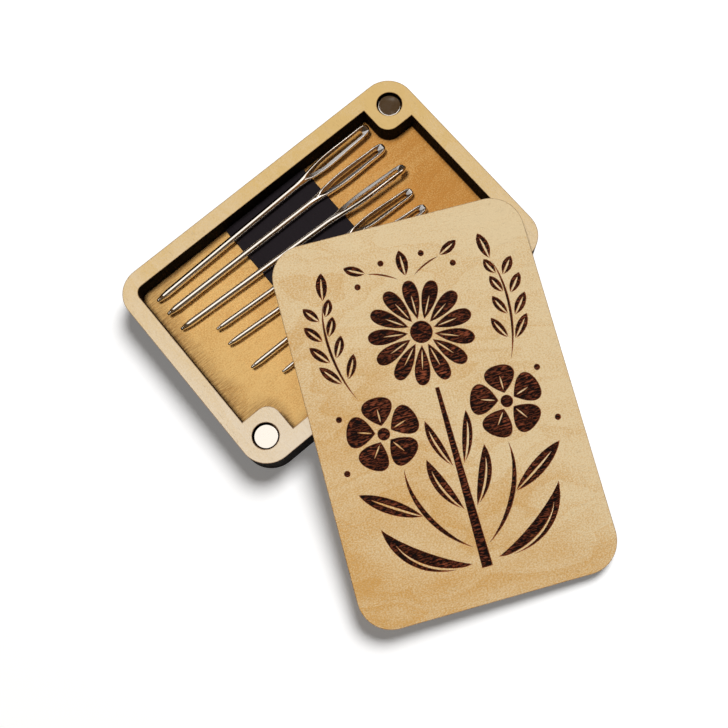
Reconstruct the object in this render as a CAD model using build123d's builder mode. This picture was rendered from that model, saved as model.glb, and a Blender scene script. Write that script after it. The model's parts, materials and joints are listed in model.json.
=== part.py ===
from build123d import *
from dataclasses import dataclass
from math import asin, cos, radians, sin, tan
import os

# Needle minder: a shallow tray of three glued plywood layers and a loose lid of one layer,
# closed by two pairs of disc magnets, with a magnetic strip that holds a set of sewing needles.
# The origin is the centre of the tray's underside, +X along its long side and +Z up.
# The lid is off: it leans on the tray's long edge, with one corner on the table.

os.makedirs("parts", exist_ok=True)


@dataclass
class NeedleSize:
    """One size of needle: a blunt tip, a round shaft and a long flattened eye."""

    length: float
    shaft_diameter: float
    tip_radius: float
    tip_taper: float
    eye_length: float
    shoulder_length: float
    eye_width: float
    eye_thickness: float
    eye_wall: float
    eye_bridge: float
    crown_length: float
    wall_to_tip: float


@dataclass
class NeedlePlace:
    """Where a needle lies: its row from the far wall, how far it strays, its heading and its roll."""

    name: str
    size: NeedleSize
    row: int
    along: float
    stray: float
    heading: float
    roll: float


# Needles
large = NeedleSize(
    length=69.6,
    shaft_diameter=1.8,
    tip_radius=0.52,
    tip_taper=4.5,
    eye_length=25.0,
    shoulder_length=8.0,
    eye_width=3.5,
    eye_thickness=1.4,
    eye_wall=0.85,
    eye_bridge=2.2,
    crown_length=2.4,
    wall_to_tip=2.7,
)
medium = NeedleSize(
    length=60.3,
    shaft_diameter=1.5,
    tip_radius=0.45,
    tip_taper=4.0,
    eye_length=22.5,
    shoulder_length=7.0,
    eye_width=3.25,
    eye_thickness=1.2,
    eye_wall=0.78,
    eye_bridge=1.9,
    crown_length=2.2,
    wall_to_tip=9.4,
)
small = NeedleSize(
    length=52.0,
    shaft_diameter=1.15,
    tip_radius=0.37,
    tip_taper=3.4,
    eye_length=19.0,
    shoulder_length=6.0,
    eye_width=2.6,
    eye_thickness=0.95,
    eye_wall=0.62,
    eye_bridge=1.6,
    crown_length=1.8,
    wall_to_tip=15.3,
)
places = (
    NeedlePlace("large_needle_far", large, 0, 0.0, -0.4, 1.1, -25.0),
    NeedlePlace("large_needle_middle", large, 1, -0.1, -0.3, -0.5, 0.0),
    NeedlePlace("large_needle_near", large, 2, 0.1, -1.25, -3.05, 30.0),
    NeedlePlace("medium_needle_far", medium, 3, 0.1, -1.3, -3.4, -4.0),
    NeedlePlace("medium_needle_middle", medium, 4, -0.1, -0.8, -4.0, 6.0),
    NeedlePlace("medium_needle_near", medium, 5, 0.6, -1.6, -0.8, 0.0),
    NeedlePlace("small_needle_far", small, 6, -0.2, -1.6, -0.9, 0.0),
    NeedlePlace("small_needle_middle", small, 7, 0.9, -0.9, 0.6, 0.0),
    NeedlePlace("small_needle_near", small, 8, 0.3, -0.1, 0.2, 0.0),
)
needle_gap = 0.05
rows = 9
row_pitch = 5.7
row_margin = 3.1
eye_end_gap = 1.15

# Plywood
ply = 2.8
rim_width = 4.1
tray_corner_radius = 7.0
cavity_corner_radius = 2.2

# Closing magnets
magnet_diameter = 6.0
magnet_thickness = 2.0
magnet_inset_x = 6.4
magnet_inset_y = 6.9
tray_hole_clearance = 0.25
lid_pocket_clearance = 0.1
boss_wall = 2.8
boss_nose_radius = 3.5

# Magnetic strip
strip_width = 25.4
strip_thickness = 1.0
strip_offset = -0.9
strip_end_gap = 0.2

# Lid, and how it leans
lid_overhang = 1.0
lid_x = -2.6
lid_reach = 14.6
lid_heading = 65.3
lid_gap = 0.05

# Engraving on the lid, in millimetres from the lid's centre, with v towards its top
burn_depth = 0.3
line_gap = 0.45
daisy_v = 18.5
daisy_petals = 13
daisy_core = 2.7
daisy_petal_length = 9.6
daisy_petal_width = 3.7
blossom_u = 15.0
blossom_v = -2.5
blossom_core = 1.5
blossom_petals = 5
blossom_petal_length = 6.8
blossom_petal_width = 7.2
stem_foot_v = -38.0
stem_foot_width = 2.6
stem_top_width = 1.0
vein_width = 0.32
berry_radius = 0.75

# Sizes that follow from these
magnet_hole_radius = magnet_diameter / 2 + tray_hole_clearance
boss_length = magnet_inset_x + magnet_hole_radius + boss_wall - rim_width
boss_width = magnet_inset_y + magnet_hole_radius + boss_wall - rim_width
cavity_length = large.wall_to_tip + large.length + eye_end_gap + boss_length
cavity_width = 2 * row_margin + (rows - 1) * row_pitch
tray_length = cavity_length + 2 * rim_width
tray_width = cavity_width + 2 * rim_width
tray_height = 3 * ply
magnet_x = tray_length / 2 - magnet_inset_x
magnet_y = tray_width / 2 - magnet_inset_y
strip_top = ply + strip_thickness
strip_left = strip_offset - strip_width / 2
lid_length = tray_length + 2 * lid_overhang
lid_width = tray_width + 2 * lid_overhang
lid_corner_radius = tray_corner_radius + lid_overhang


def cavity_outline():
    """The cavity from above: a rectangle less the two corner bosses that hold the magnets."""
    with BuildSketch(mode=Mode.PRIVATE) as outline:
        Rectangle(cavity_length, cavity_width)
        boss_centre = Vector(cavity_length - boss_length, cavity_width - boss_width) / 2
        with Locations(boss_centre, -boss_centre):
            Rectangle(boss_length, boss_width, mode=Mode.SUBTRACT)
        corners = outline.vertices()
        fillet(corners.filter_by(lambda v: v.X * v.Y < 0), cavity_corner_radius)
        boss_corners = outline.vertices().filter_by(lambda v: v.X * v.Y > 0)
        fillet(boss_corners.sort_by(lambda v: v.X**2 + v.Y**2)[:2], boss_nose_radius)
    return outline.sketch


# The tray's floor
with BuildPart() as bottom_panel:
    with BuildSketch():
        RectangleRounded(tray_length, tray_width, tray_corner_radius)
    extrude(amount=ply)
bottom_panel.part.label = "bottom_panel"
export_step(bottom_panel.part, "parts/bottom_panel.step")

# The two frames that make the tray's wall, the upper one with the magnets' holes
with BuildPart() as lower_frame:
    with BuildSketch(Plane.XY.offset(ply)):
        RectangleRounded(tray_length, tray_width, tray_corner_radius)
        add(cavity_outline(), mode=Mode.SUBTRACT)
    extrude(amount=ply)
lower_frame.part.label = "lower_frame"
export_step(lower_frame.part, "parts/lower_frame.step")

with BuildPart() as upper_frame:
    with BuildSketch(Plane.XY.offset(2 * ply)):
        RectangleRounded(tray_length, tray_width, tray_corner_radius)
        add(cavity_outline(), mode=Mode.SUBTRACT)
        with Locations((magnet_x, magnet_y), (-magnet_x, -magnet_y)):
            Circle(magnet_hole_radius, mode=Mode.SUBTRACT)
    extrude(amount=ply)
upper_frame.part.label = "upper_frame"
export_step(upper_frame.part, "parts/upper_frame.step")

# The magnetic strip, from wall to wall across the cavity
with BuildPart() as magnetic_strip:
    with BuildSketch(Plane.XY.offset(ply)):
        with Locations((strip_offset, 0)):
            Rectangle(strip_width, cavity_width - 2 * strip_end_gap)
    extrude(amount=strip_thickness)
magnetic_strip.part.label = "magnetic_strip"
export_step(magnetic_strip.part, "parts/magnetic_strip.step")


def disc_magnet(face, u, v, name):
    """A disc magnet standing on a face, u and v from the face's centre, with its edge broken."""
    edge_break = 0.15
    with BuildPart() as magnet:
        with BuildSketch(face):
            with Locations((u, v)):
                Circle(magnet_diameter / 2)
        extrude(amount=magnet_thickness)
        chamfer(magnet.edges().filter_by(GeomType.CIRCLE), edge_break)
    magnet.part.label = name
    export_step(magnet.part, f"parts/{name}.step")


disc_magnet(Plane.XY.offset(2 * ply), magnet_x, magnet_y, "tray_magnet_right")
disc_magnet(Plane.XY.offset(2 * ply), -magnet_x, -magnet_y, "tray_magnet_left")

# The lid leans on the line of the tray's near edge and touches the table with its lowest corner.
# Its lowest point lies below its centre by the outline's reach down the slope, times sin(tilt).
lid_turn = radians(lid_heading)
slope_reach = (
    (lid_length / 2 - lid_corner_radius) * abs(sin(lid_turn))
    + (lid_width / 2 - lid_corner_radius) * abs(cos(lid_turn))
    + lid_corner_radius
)
lid_tilt = 0.0
for _ in range(30):
    lid_tilt = asin((tray_height + lid_gap - lid_reach * tan(lid_tilt)) / slope_reach)
lid_centre = Vector(lid_x, -tray_width / 2 - lid_reach, slope_reach * sin(lid_tilt))
up_slope = Vector(0, cos(lid_tilt), sin(lid_tilt))
lid_long_axis = Vector(1, 0, 0) * cos(lid_turn) + up_slope * sin(lid_turn)
lid_underside = Plane(lid_centre, x_dir=lid_long_axis, z_dir=(0, -sin(lid_tilt), cos(lid_tilt)))
lid_top = lid_underside.offset(ply)
art = Plane(lid_top.origin, x_dir=-lid_top.y_dir, z_dir=lid_top.z_dir)


def blade(foot, tip, left, right):
    """A leaf or stem from foot to tip. Its edges bow off the straight line by left and by right."""
    foot = Vector(*foot)
    tip = Vector(*tip)
    run = tip - foot
    side = Vector(-run.Y, run.X).normalized()
    with BuildSketch(mode=Mode.PRIVATE) as outline:
        with BuildLine():
            Bezier(foot, foot + run * 0.3 + side * left, foot + run * 0.75 + side * left, tip)
            Bezier(foot, foot + run * 0.3 + side * right, foot + run * 0.75 + side * right, tip)
        make_face()
    return outline.sketch


def leaf(foot, tip, left, right):
    """A blade with an unburned rib that starts at its foot and follows its middle."""
    foot = Vector(*foot)
    tip = Vector(*tip)
    middle = (left + right) / 2
    rib_tip = foot + (tip - foot) * 0.8 + Vector(foot.Y - tip.Y, tip.X - foot.X).normalized() * middle * 0.5
    with BuildSketch(mode=Mode.PRIVATE) as outline:
        add(blade(foot, tip, left, right))
        add(
            blade(foot - (tip - foot) * 0.02, rib_tip, middle * 0.9 + vein_width, middle * 0.9 - vein_width),
            mode=Mode.SUBTRACT,
        )
    return outline.sketch


def petal(length, width, fullness):
    """A petal along u from its foot at zero: its widest part is fullness of the way to its tip."""
    with BuildSketch(mode=Mode.PRIVATE) as outline:
        with BuildLine() as edge:
            Bezier((0, 0), (length * fullness * 0.6, width * 0.75), (length, width * 0.6), (length, 0))
            mirror(edge.edges(), about=Plane.XZ)
        make_face()
        with BuildLine() as vein:
            Bezier((length * 0.12, 0), (length * 0.3, vein_width), (length * 0.62, 0))
            mirror(vein.edges(), about=Plane.XZ)
        make_face(mode=Mode.SUBTRACT)
    return outline.sketch


def flower(u, v, core, count, length, width, fullness, turn):
    """Petals round a core, each separated from it and from its neighbours by an unburned line."""
    with BuildSketch(mode=Mode.PRIVATE) as bloom:
        with Locations((u, v)):
            Circle(core)
            with PolarLocations(core + line_gap, count, start_angle=turn):
                add(petal(length, width, fullness))
    return bloom.sketch


def engraving():
    """A mirrored bouquet: a daisy on a straight stem, two blossoms on curved stems, and sprigs."""
    with BuildSketch(mode=Mode.PRIVATE) as half:
        add(flower(blossom_u, blossom_v, blossom_core, blossom_petals, blossom_petal_length,
                   blossom_petal_width, 0.9, 90))
        stem_edge = stem_foot_width / 2 + line_gap
        # The blossom's stem, and the long leaves beside the main stem
        add(blade((stem_edge, -33.0), (blossom_u - 2.4, blossom_v - 9.0), -3.6, -5.2))
        add(leaf((stem_edge + 1.4, -36.5), (21.5, -23.5), -1.6, -7.0))
        add(leaf((stem_edge - 0.2, -24.0), (7.0, -10.8), 0.8, -3.4))
        add(leaf((stem_edge + 9.4, -23.2), (24.4, -14.6), 2.0, -2.6))
        add(leaf((stem_edge - 0.4, -13.8), (5.0, -2.0), 0.9, -2.4))
        # The sprig that rises outside the daisy
        sprig_foot = Vector(blossom_u + 3.6, blossom_v + 9.0)
        sprig_tip = Vector(20.8, 31.0)
        add(blade(sprig_foot, sprig_tip, -2.6, -3.5))
        for share in (0.18, 0.4, 0.62, 0.82):
            node = sprig_foot + (sprig_tip - sprig_foot) * share + Vector(3.4, 0.4) * (share - share**2) * 3.1
            add(leaf(node + Vector(0.7, 0.2), node + Vector(4.6, 5.0) * (1.15 - 0.4 * share), 1.5, -1.7))
            add(leaf(node + Vector(-0.9, 0.9), node + Vector(-3.4, 6.0) * (1.15 - 0.4 * share), 1.7, -1.3))
        add(leaf(sprig_tip + Vector(-0.2, 0.6), sprig_tip + Vector(-1.4, 7.2), 1.7, -1.9))
        # Buds and berries above the daisy
        add(blade((2.0, daisy_v + 13.6), (8.8, daisy_v + 16.6), 0.9, 0.3))
        add(leaf((9.2, daisy_v + 16.9), (14.0, daisy_v + 19.4), 1.5, -1.7))
        with Locations((5.0, daisy_v + 18.4), (11.8, daisy_v + 14.2), (9.4, -1.6), (24.2, 3.4), (25.6, -9.2)):
            Circle(berry_radius)
    with BuildSketch(mode=Mode.PRIVATE) as picture:
        add(half.sketch)
        mirror(half.sketch, about=Plane.YZ)
        add(flower(0, daisy_v, daisy_core, daisy_petals, daisy_petal_length, daisy_petal_width, 0.9, 90))
        stem_top_v = daisy_v - daisy_core - daisy_petal_length - 3 * line_gap
        with BuildLine():
            Polyline(
                (-stem_foot_width / 2, stem_foot_v),
                (stem_foot_width / 2, stem_foot_v),
                (stem_top_width / 2, stem_top_v),
                (-stem_top_width / 2, stem_top_v),
                close=True,
            )
        make_face()
        add(leaf((0, daisy_v + 14.0), (0, daisy_v + 20.4), 1.9, -1.9))
    return picture.sketch


# The lid, with blind pockets below for its magnets and the picture burned into its top
with BuildPart() as lid:
    with BuildSketch(lid_underside):
        RectangleRounded(lid_length, lid_width, lid_corner_radius)
    extrude(amount=ply)
    with BuildSketch(lid_underside):
        with Locations((magnet_x, magnet_y), (-magnet_x, -magnet_y)):
            Circle(magnet_diameter / 2 + lid_pocket_clearance)
    extrude(amount=magnet_thickness, mode=Mode.SUBTRACT)
    with BuildSketch(art):
        add(engraving())
    extrude(amount=-burn_depth, mode=Mode.SUBTRACT)
lid.part.label = "lid"
export_step(lid.part, "parts/lid.step")

disc_magnet(lid_underside, magnet_x, magnet_y, "lid_magnet_upper")
disc_magnet(lid_underside, -magnet_x, -magnet_y, "lid_magnet_lower")


def needle_plane(place):
    """The plane of a needle's eye: origin at the tip, x along the shaft, z through the slot.

    The shaft lies on the strip. A rolled eye stands deeper than the shaft, so it lifts the shaft
    where it meets the strip's edge, and the needle tips by that rise over the strip's width.
    """
    size = place.size
    roll = radians(place.roll)
    heading = radians(place.heading)
    eye_depth = size.eye_width / 2 * abs(sin(roll)) + size.eye_thickness / 2 * cos(roll)
    pitch = asin(max(0.0, eye_depth - size.shaft_diameter / 2) / strip_width)
    tip_x = -cavity_length / 2 + size.wall_to_tip + place.along
    strip_middle = strip_offset - tip_x
    tip_y = cavity_width / 2 - row_margin - place.row * row_pitch + place.stray - strip_middle * sin(heading)
    over_strip = (strip_left - tip_x) / cos(heading)
    tip_z = strip_top + needle_gap + size.shaft_diameter / 2 - over_strip * tan(pitch)
    forward = Vector(cos(heading) * cos(pitch), sin(heading) * cos(pitch), sin(pitch))
    side = Vector(-sin(heading), cos(heading), 0)
    normal = forward.cross(side) * cos(roll) + side * sin(roll)
    return Plane((tip_x, tip_y, tip_z), x_dir=forward, z_dir=normal)


def make_needle(place):
    """A needle: the turned shaft and tip, then the flattened eye with its long slot."""
    size = place.size
    at = needle_plane(place)
    radius = size.shaft_diameter / 2
    half_width = size.eye_width / 2
    shaft_end = size.length - size.eye_length
    side_start = shaft_end + size.shoulder_length
    crown_start = size.length - size.crown_length
    slot_half_width = half_width - size.eye_wall
    slot_end = size.length - size.eye_bridge
    slot_start = side_start - size.shoulder_length / 4
    slot_full = slot_start + 1.6 * size.eye_width
    slot_round = slot_end - slot_half_width
    with BuildPart() as needle:
        with BuildSketch(at):
            with BuildLine():
                nib = RadiusArc((0, 0), (size.tip_radius, size.tip_radius), size.tip_radius)
                Polyline(
                    nib @ 1,
                    (size.tip_taper, radius),
                    (shaft_end, radius),
                    (side_start, 0),
                    (0, 0),
                )
            make_face()
        revolve(axis=Axis(at.origin, at.x_dir))
        with BuildSketch(at):
            with BuildLine() as upper_edge:
                shoulder = Spline(
                    (shaft_end, radius),
                    (side_start, half_width),
                    tangents=((1, 0), (1, 0)),
                )
                Line(shoulder @ 1, (crown_start, half_width))
                EllipticalCenterArc((crown_start, 0), size.crown_length, half_width, arc_size=90)
                mirror(upper_edge.edges(), about=Plane.XZ)
                Line((shaft_end, -radius), (shaft_end, radius))
            make_face()
        extrude(amount=size.eye_thickness / 2, both=True)
        with BuildSketch(at):
            with BuildLine() as slot_edge:
                Polyline((slot_start, 0), (slot_full, slot_half_width), (slot_round, slot_half_width))
                ThreePointArc((slot_round, slot_half_width), (slot_end, 0), (slot_round, -slot_half_width))
                mirror(slot_edge.edges().filter_by(GeomType.LINE), about=Plane.XZ)
            make_face()
        extrude(amount=radius, both=True, mode=Mode.SUBTRACT)
    needle.part.label = place.name
    export_step(needle.part, f"parts/{place.name}.step")


for place in places:
    make_needle(place)
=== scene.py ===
import json
import math
from dataclasses import dataclass
from functools import partial

import bmesh
import bpy
import numpy as np
from bpy.props import FloatProperty, FloatVectorProperty, PointerProperty
from bpy.types import Operator, Panel, PropertyGroup
from mathutils import Euler, Matrix, Vector

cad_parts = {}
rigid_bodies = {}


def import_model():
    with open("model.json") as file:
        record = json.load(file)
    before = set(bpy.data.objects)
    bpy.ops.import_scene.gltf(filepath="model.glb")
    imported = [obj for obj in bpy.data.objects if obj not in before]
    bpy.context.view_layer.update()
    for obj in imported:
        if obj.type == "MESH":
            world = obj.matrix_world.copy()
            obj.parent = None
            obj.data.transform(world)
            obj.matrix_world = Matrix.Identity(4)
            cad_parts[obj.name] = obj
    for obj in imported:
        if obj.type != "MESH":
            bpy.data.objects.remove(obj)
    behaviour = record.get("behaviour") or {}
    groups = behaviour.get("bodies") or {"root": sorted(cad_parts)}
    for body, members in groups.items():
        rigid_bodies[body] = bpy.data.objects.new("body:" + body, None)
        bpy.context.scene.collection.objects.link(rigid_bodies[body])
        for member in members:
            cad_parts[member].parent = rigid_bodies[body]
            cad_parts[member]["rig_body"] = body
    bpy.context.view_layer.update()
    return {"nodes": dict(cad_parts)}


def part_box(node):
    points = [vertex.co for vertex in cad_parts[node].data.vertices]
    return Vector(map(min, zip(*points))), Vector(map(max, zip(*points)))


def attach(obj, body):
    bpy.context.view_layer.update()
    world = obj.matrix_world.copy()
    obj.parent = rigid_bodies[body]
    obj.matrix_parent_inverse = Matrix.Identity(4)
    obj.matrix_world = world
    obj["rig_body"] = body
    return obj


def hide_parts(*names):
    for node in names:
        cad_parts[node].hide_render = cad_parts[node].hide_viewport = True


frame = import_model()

bl_info = {
    "name": "Needle minder",
    "version": (1, 0, 0),
    "blender": (4, 5, 0),
    "location": "3D View > Sidebar > Needle minder",
    "description": "Dresses the needle minder in laser-cut birch, nickel, magnetic strip and steel needles",
    "category": "Object",
}

MM = 0.001
STILL = Matrix.Identity(3)


def linear(colour):
    """An sRGB hex colour, such as #E0C593, as linear red, green, blue and an alpha of one."""
    share = np.array([int(colour[i : i + 2], 16) for i in (1, 3, 5)]) / 255
    light = np.where(share <= 0.04045, share / 12.92, ((share + 0.055) / 1.055) ** 2.4)
    return (*light.tolist(), 1.0)


# Sizes read from the frame


@dataclass
class Board:
    """A plywood board: the middle of its underside, its axes as columns, and its sizes in metres."""

    centre: Vector
    turn: Matrix
    length: float
    width: float
    corner: float


def middle(node):
    """The middle of a CAD node's box."""
    low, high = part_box(node)
    return (low + high) / 2


def size_of(node):
    """The size of a CAD node's box."""
    low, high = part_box(node)
    return high - low


PLY = size_of("bottom_panel").z
TRAY_MAGNET = middle("tray_magnet_right")
LID_OVERHANG = 1.0 * MM
TRAY_CORNER = 7.0 * MM


def tray_board(node):
    """One of the tray's three boards, which lie square to the frame."""
    size = size_of(node)
    underside = middle(node) - Vector((0, 0, size.z / 2))
    return Board(underside, STILL, size.x, size.y, TRAY_CORNER)


def lid_board():
    """The leaning lid. Its two magnets lie on its diagonal, as the tray's do, and it leans about X:
    the slope of the line between them gives the tilt, and its direction in the lid gives the heading."""
    upper, lower = middle("lid_magnet_upper"), middle("lid_magnet_lower")
    run = upper - lower
    tilt = math.atan2(run.z, run.y)
    heading = math.atan2(run.y / math.cos(tilt), run.x) - math.atan2(TRAY_MAGNET.y, TRAY_MAGNET.x)
    turn = Matrix.Rotation(tilt, 3, "X") @ Matrix.Rotation(heading, 3, "Z")
    thickness = size_of("tray_magnet_right").z
    underside = (upper + lower) / 2 - turn.col[2] * thickness / 2
    tray = size_of("bottom_panel")
    return Board(
        underside, turn, tray.x + 2 * LID_OVERHANG, tray.y + 2 * LID_OVERHANG, TRAY_CORNER + LID_OVERHANG
    )


# Sizes of the needles and of the cavity, in millimetres, as in the part


@dataclass
class NeedleSize:
    """One size of needle: a blunt tip, a round shaft and a long flattened eye."""

    length: float
    shaft: float
    tip_radius: float
    tip_taper: float
    eye_length: float
    shoulder: float
    eye_width: float
    eye_thickness: float
    eye_wall: float
    eye_bridge: float
    crown: float
    wall_to_tip: float


@dataclass
class NeedlePlace:
    """Where a needle lies: its row from the far wall, how far it strays, its heading and its roll."""

    name: str
    size: NeedleSize
    row: int
    along: float
    stray: float
    heading: float
    roll: float


LARGE = NeedleSize(69.6, 1.8, 0.52, 4.5, 25.0, 8.0, 3.5, 1.4, 0.85, 2.2, 2.4, 2.7)
MEDIUM = NeedleSize(60.3, 1.5, 0.45, 4.0, 22.5, 7.0, 3.25, 1.2, 0.78, 1.9, 2.2, 9.4)
SMALL = NeedleSize(52.0, 1.15, 0.37, 3.4, 19.0, 6.0, 2.6, 0.95, 0.62, 1.6, 1.8, 15.3)
NEEDLES = (
    NeedlePlace("large_needle_far", LARGE, 0, 0.0, -0.4, 1.1, -25.0),
    NeedlePlace("large_needle_middle", LARGE, 1, -0.1, -0.3, -0.5, 0.0),
    NeedlePlace("large_needle_near", LARGE, 2, 0.1, -1.25, -3.05, 30.0),
    NeedlePlace("medium_needle_far", MEDIUM, 3, 0.1, -1.3, -3.4, -4.0),
    NeedlePlace("medium_needle_middle", MEDIUM, 4, -0.1, -0.8, -4.0, 6.0),
    NeedlePlace("medium_needle_near", MEDIUM, 5, 0.6, -1.6, -0.8, 0.0),
    NeedlePlace("small_needle_far", SMALL, 6, -0.2, -1.6, -0.9, 0.0),
    NeedlePlace("small_needle_middle", SMALL, 7, 0.9, -0.9, 0.6, 0.0),
    NeedlePlace("small_needle_near", SMALL, 8, 0.3, -0.1, 0.2, 0.0),
)
NEEDLE_GAP = 0.05
ROW_PITCH = 5.7
ROW_MARGIN = 3.1
RIM_WIDTH = 4.1
CAVITY_CORNER = 2.2
BOSS_LENGTH = 8.35
BOSS_WIDTH = 8.85
BOSS_NOSE = 3.5
HOLE_RADIUS = 3.25
BURN_DEPTH = 0.3

# How a needle is formed. Its nib is fuller than the rounding of its end, and swells to the shaft. An
# eye's bars are wider than the part's walls: an outer share of each stays flat, and the rest slopes
# inwards. The eye is widest so many shoulders from the shaft and narrows by a share to its crown, where
# a gentler slope, which starts a share of the bridge past the slot, falls to the slot
NIB_FULLNESS = 1.15
TAPER_POWER = 2.6
BAR_OVER_WALL = 1.35
BAR_FLAT = 0.3
BAR_SLOPE = math.tan(math.radians(25))
WIDEST_SHOULDERS = 1.5
EYE_NARROWING = 0.16
CROWN_POWER = 2.4
BRIDGE_FLAT = 0.8
BRIDGE_GENTLER = 0.6


# Settings


def colour_setting(name, description, colour):
    """A colour setting that starts as an sRGB hex colour."""
    return FloatVectorProperty(
        name=name, description=description, subtype="COLOR", size=4, default=linear(colour)
    )


def length_setting(name, description, millimetres):
    """A length setting that starts at so many millimetres."""
    return FloatProperty(
        name=name, description=description, default=millimetres * MM, min=0.02 * MM, subtype="DISTANCE",
        unit="LENGTH",
    )


def share_setting(name, description, share):
    """A setting for a share of one, never quite nothing."""
    return FloatProperty(
        name=name, description=description, default=share, min=0.01, max=1, subtype="FACTOR"
    )


def power_setting(name, description, watts):
    """A setting for a lamp's power."""
    return FloatProperty(
        name=name, description=description, default=watts, min=0, subtype="POWER", unit="POWER"
    )


class MinderWood(PropertyGroup):
    """Colours and pattern sizes of the birch plywood."""

    rim_pale: colour_setting("Rim, pale", "Palest face wood of the frames", "#EAD9C0")
    rim_warm: colour_setting("Rim, warm", "Warmest face wood of the frames", "#DDBB7C")
    floor_pale: colour_setting("Floor, pale", "Palest wood of the tray's floor", "#E3BA77")
    floor_warm: colour_setting("Floor, warm", "Warmest wood of the tray's floor", "#C0843D")
    lid_pale: colour_setting("Lid, pale", "Palest face wood of the lid", "#E5CEA4")
    lid_warm: colour_setting("Lid, warm", "Warmest face wood of the lid", "#D0A05C")
    # Also the thin line of painted shade at the foot of the tray's walls
    char: colour_setting("Char", "Burnt wood of the laser-cut edges", "#070403")
    # Also the colour of the floor's soot and of the painted shade along the tray's walls
    scorch_and_shade: colour_setting("Scorch", "Browned wood beside a cut", "#70431C")
    burn_brown: colour_setting("Engraving, brown", "Lighter ripples of the burnt picture", "#8A4831")
    # Also the painted shade along the outlines of the burnt picture
    burn_black_and_shade: colour_setting("Engraving, black", "Darkest ripples of the burnt picture", "#0A0404")
    # Also the painted highlights on the crests of the burnt picture
    burn_edge_and_highlight: colour_setting("Engraving, edge", "Crests and walls of the burnt picture", "#A0552F")
    fibre_length: length_setting("Fibre length", "Length of a fibre streak", 1.3)
    fibre_width: length_setting("Fibre width", "Width of a fibre streak", 0.3)
    scorch_width: length_setting("Scorch width", "Width of the browned line at a cut", 0.22)
    # How far the soot, and the painted shade along the tray's walls, run from a wall
    soot_and_shade_reach: length_setting("Soot reach", "How far the soot runs from the wall", 6.0)


class MinderMetal(PropertyGroup):
    """Colours and finishes of the needles, the magnets and the magnetic strip."""

    steel: colour_setting("Needle steel", "Colour of the plated needles", "#F0EAE0")
    steel_roughness: share_setting("Needle roughness", "Roughness of the polished needles", 0.07)
    stamped_steel: colour_setting("Stamped steel", "Colour of the slopes inside a needle's eye", "#B3B1AF")
    stamped_roughness: share_setting("Stamped roughness", "Roughness of the slopes inside the eye", 0.2)
    nickel: colour_setting("Nickel", "Colour of the magnets' plating", "#E8E2D8")
    nickel_roughness: share_setting("Magnet roughness", "Roughness of the magnets' plating", 0.08)
    strip: colour_setting("Magnetic strip", "Colour of the rubber-bonded strip", "#1B171A")
    strip_roughness: share_setting("Strip roughness", "Roughness of the rubber-bonded strip", 0.55)
    gutter_share: share_setting("Gutter", "Share of the shoulder that the groove to the eye takes", 0.5)


class MinderStage(PropertyGroup):
    """Camera, lamps, world and floor."""

    lens: FloatProperty(
        name="Lens", description="Focal length on a 36 mm sensor", default=49.45, min=10, unit="CAMERA"
    )
    table_power: power_setting("Table lamp", "Power of the lamp that lights the table alone", 44.0)
    window_power: power_setting("Window", "Power of the broad window that the metal mirrors", 7.7)
    object_power: power_setting("Object lamps", "Power of the lamps that light the object", 38.5)
    ambient: FloatProperty(
        name="Ambient", description="Strength of the even light from all round", default=0.04, min=0
    )
    table_lift: FloatProperty(
        name="Table lift", description="Light added to the table where it is seen", default=0.19, min=0
    )
    far_wall: colour_setting("Far wall", "The far right wall, as the metal mirrors it", "#ACADB0")
    left_wall: colour_setting("Near left wall", "The near left wall, as the metal mirrors it", "#5A4A38")
    right_wall: colour_setting("Near right wall", "The near right wall, as the metal mirrors it", "#8F5F30")
    ceiling: colour_setting("Ceiling", "The ceiling, as the metal mirrors it", "#54422F")


class MinderSettings(PropertyGroup):
    """All the settings of the needle minder."""

    wood: PointerProperty(type=MinderWood)
    metal: PointerProperty(type=MinderMetal)
    stage: PointerProperty(type=MinderStage)


# Node helpers

# Eases a Map Range node's result in and out between its ends
SOFT = {"interpolation_type": "SMOOTHSTEP"}


def add_node(tree, kind, inputs=(), **settings):
    """Adds a shader node. Its settings are set first, then each input, by name or by its place among
    the shown ones, gets a value or a link from a socket or from a node's first shown output."""
    node = tree.nodes.new("ShaderNode" + kind)
    for name, value in settings.items():
        setattr(node, name, value)
    shown = [socket for socket in node.inputs if socket.enabled]
    pairs = inputs.items() if isinstance(inputs, dict) else enumerate(inputs)
    for key, value in pairs:
        socket = node.inputs[key] if isinstance(key, str) else shown[key]
        if isinstance(value, bpy.types.Node):
            value = next(out for out in value.outputs if out.enabled)
        if isinstance(value, bpy.types.NodeSocket):
            tree.links.new(value, socket)
        else:
            socket.default_value = value
    return node


def emptied(owner):
    """A material or a world with an empty node tree, and the function that adds a node to that tree."""
    owner.use_nodes = True
    owner.node_tree.nodes.clear()
    return owner, partial(add_node, owner.node_tree)


# Plywood. Lengths in these patterns are in millimetres


@dataclass
class Figure:
    """How a birch face looks: which way its grain runs, its palest and warmest colours, how warm it is at
    the board's middle and how much warmer a millimetre along X and Y, and how strong its clouds, growth
    rings and fibres are."""

    grain: str
    pale: tuple
    warm: tuple
    warmth: float
    drift: tuple
    clouds: float
    rings: float
    fibres: float


def board_space(add, board):
    """A point's place on a board in millimetres, from the middle of its underside, and how far the
    surface there faces the board's own up."""
    at = add("TexCoord")
    place = add(
        "Mapping",
        {
            "Vector": at.outputs["Object"],
            "Location": board.centre,
            "Rotation": board.turn.to_euler(),
            "Scale": (MM, MM, MM),
        },
        vector_type="TEXTURE",
    )
    up = board.turn.col[2]
    facing = add("VectorMath", [at.outputs["Normal"], up], operation="DOT_PRODUCT")
    return place, facing


def along_grain(grain, length, width):
    """The scale at which a pattern of unit spots has spots of length by width along the grain."""
    along, across = 1 / length, 1 / width
    return (along, across, across) if grain == "long" else (across, along, across)


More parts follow.
